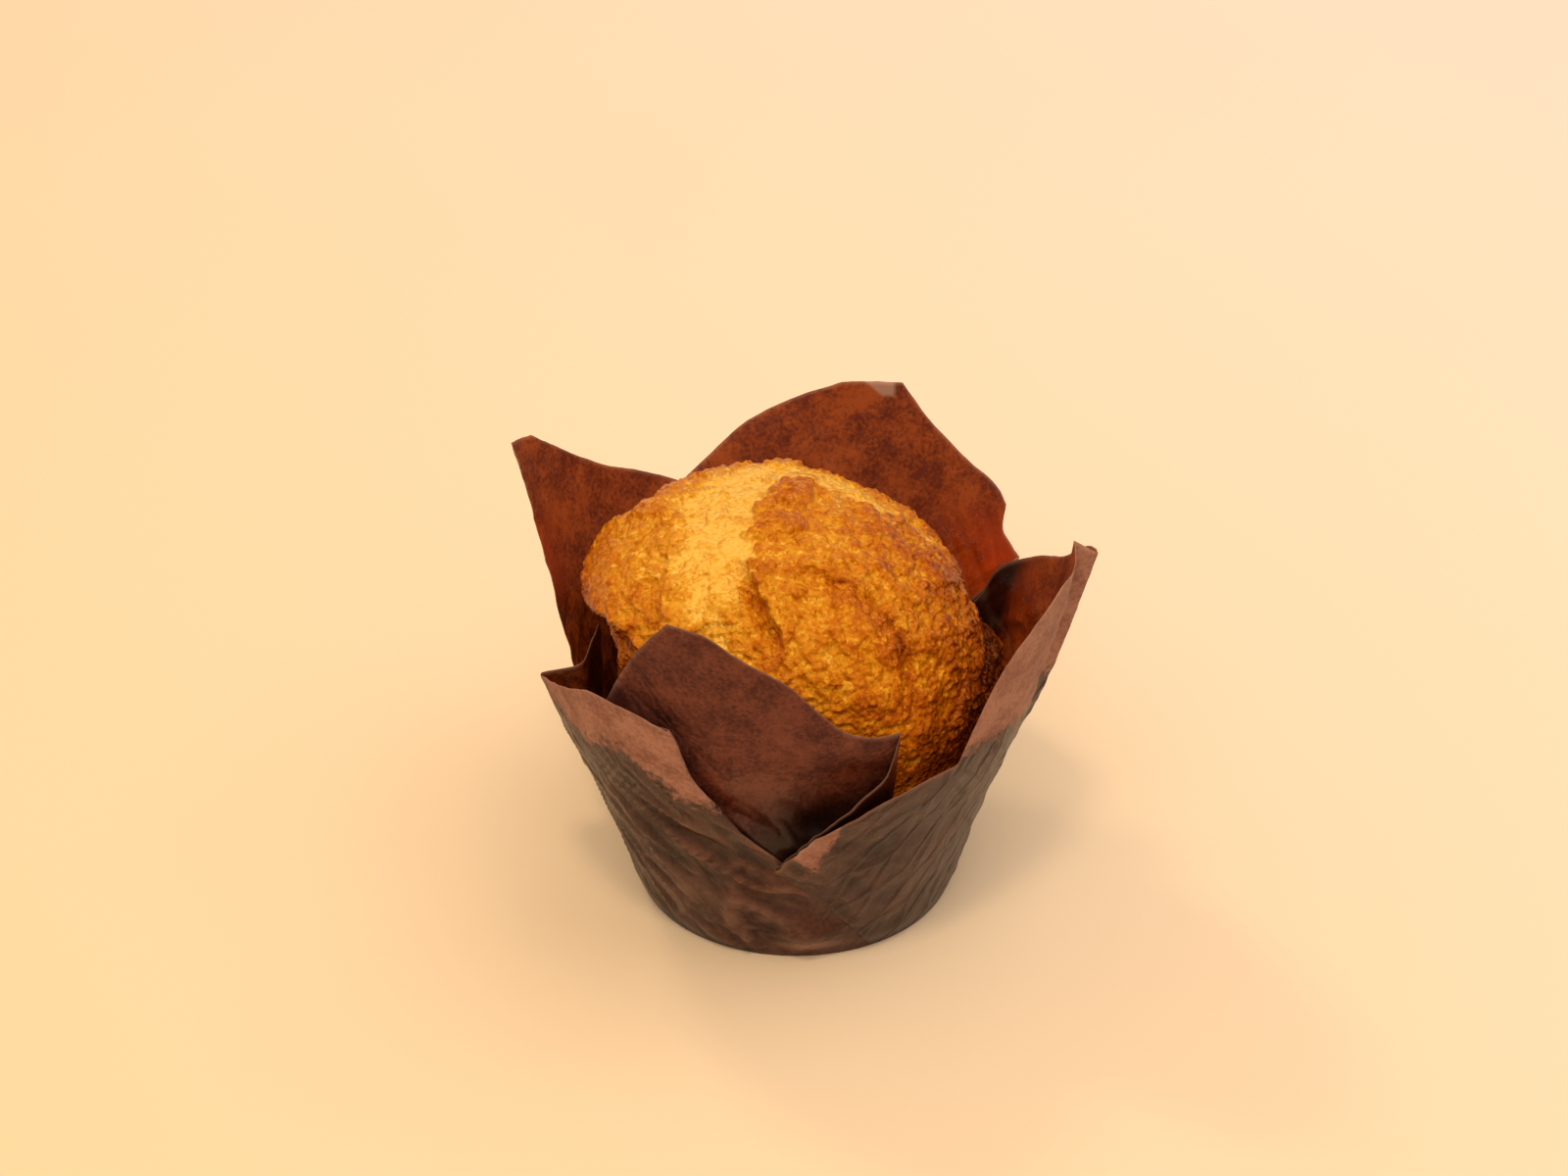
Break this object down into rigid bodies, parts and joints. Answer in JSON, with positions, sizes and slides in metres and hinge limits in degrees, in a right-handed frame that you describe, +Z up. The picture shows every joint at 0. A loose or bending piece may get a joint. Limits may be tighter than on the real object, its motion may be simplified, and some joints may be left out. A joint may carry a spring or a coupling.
{
  "type": "muffin",
  "caption": "Domed golden muffin standing in a pleated tulip cup folded from one square of brown baking paper, with four raised paper petals",
  "frame": {"origin": "middle of the cup's flat bottom, on the surface that it stands on", "axes": "+Z up through the crown of the muffin, -Y towards the front petal"},
  "size_m": [0.0916, 0.0931, 0.0733],
  "materials": {
    "crust": "baked golden crust, moist and granular",
    "baking_paper": "brown greaseproof baking paper, matt where dry and satin where soaked"
  },
  "bodies": {
    "root": {"muffin": "crust", "paper_wrapper": "baking_paper"}
  },
  "joints": []
}
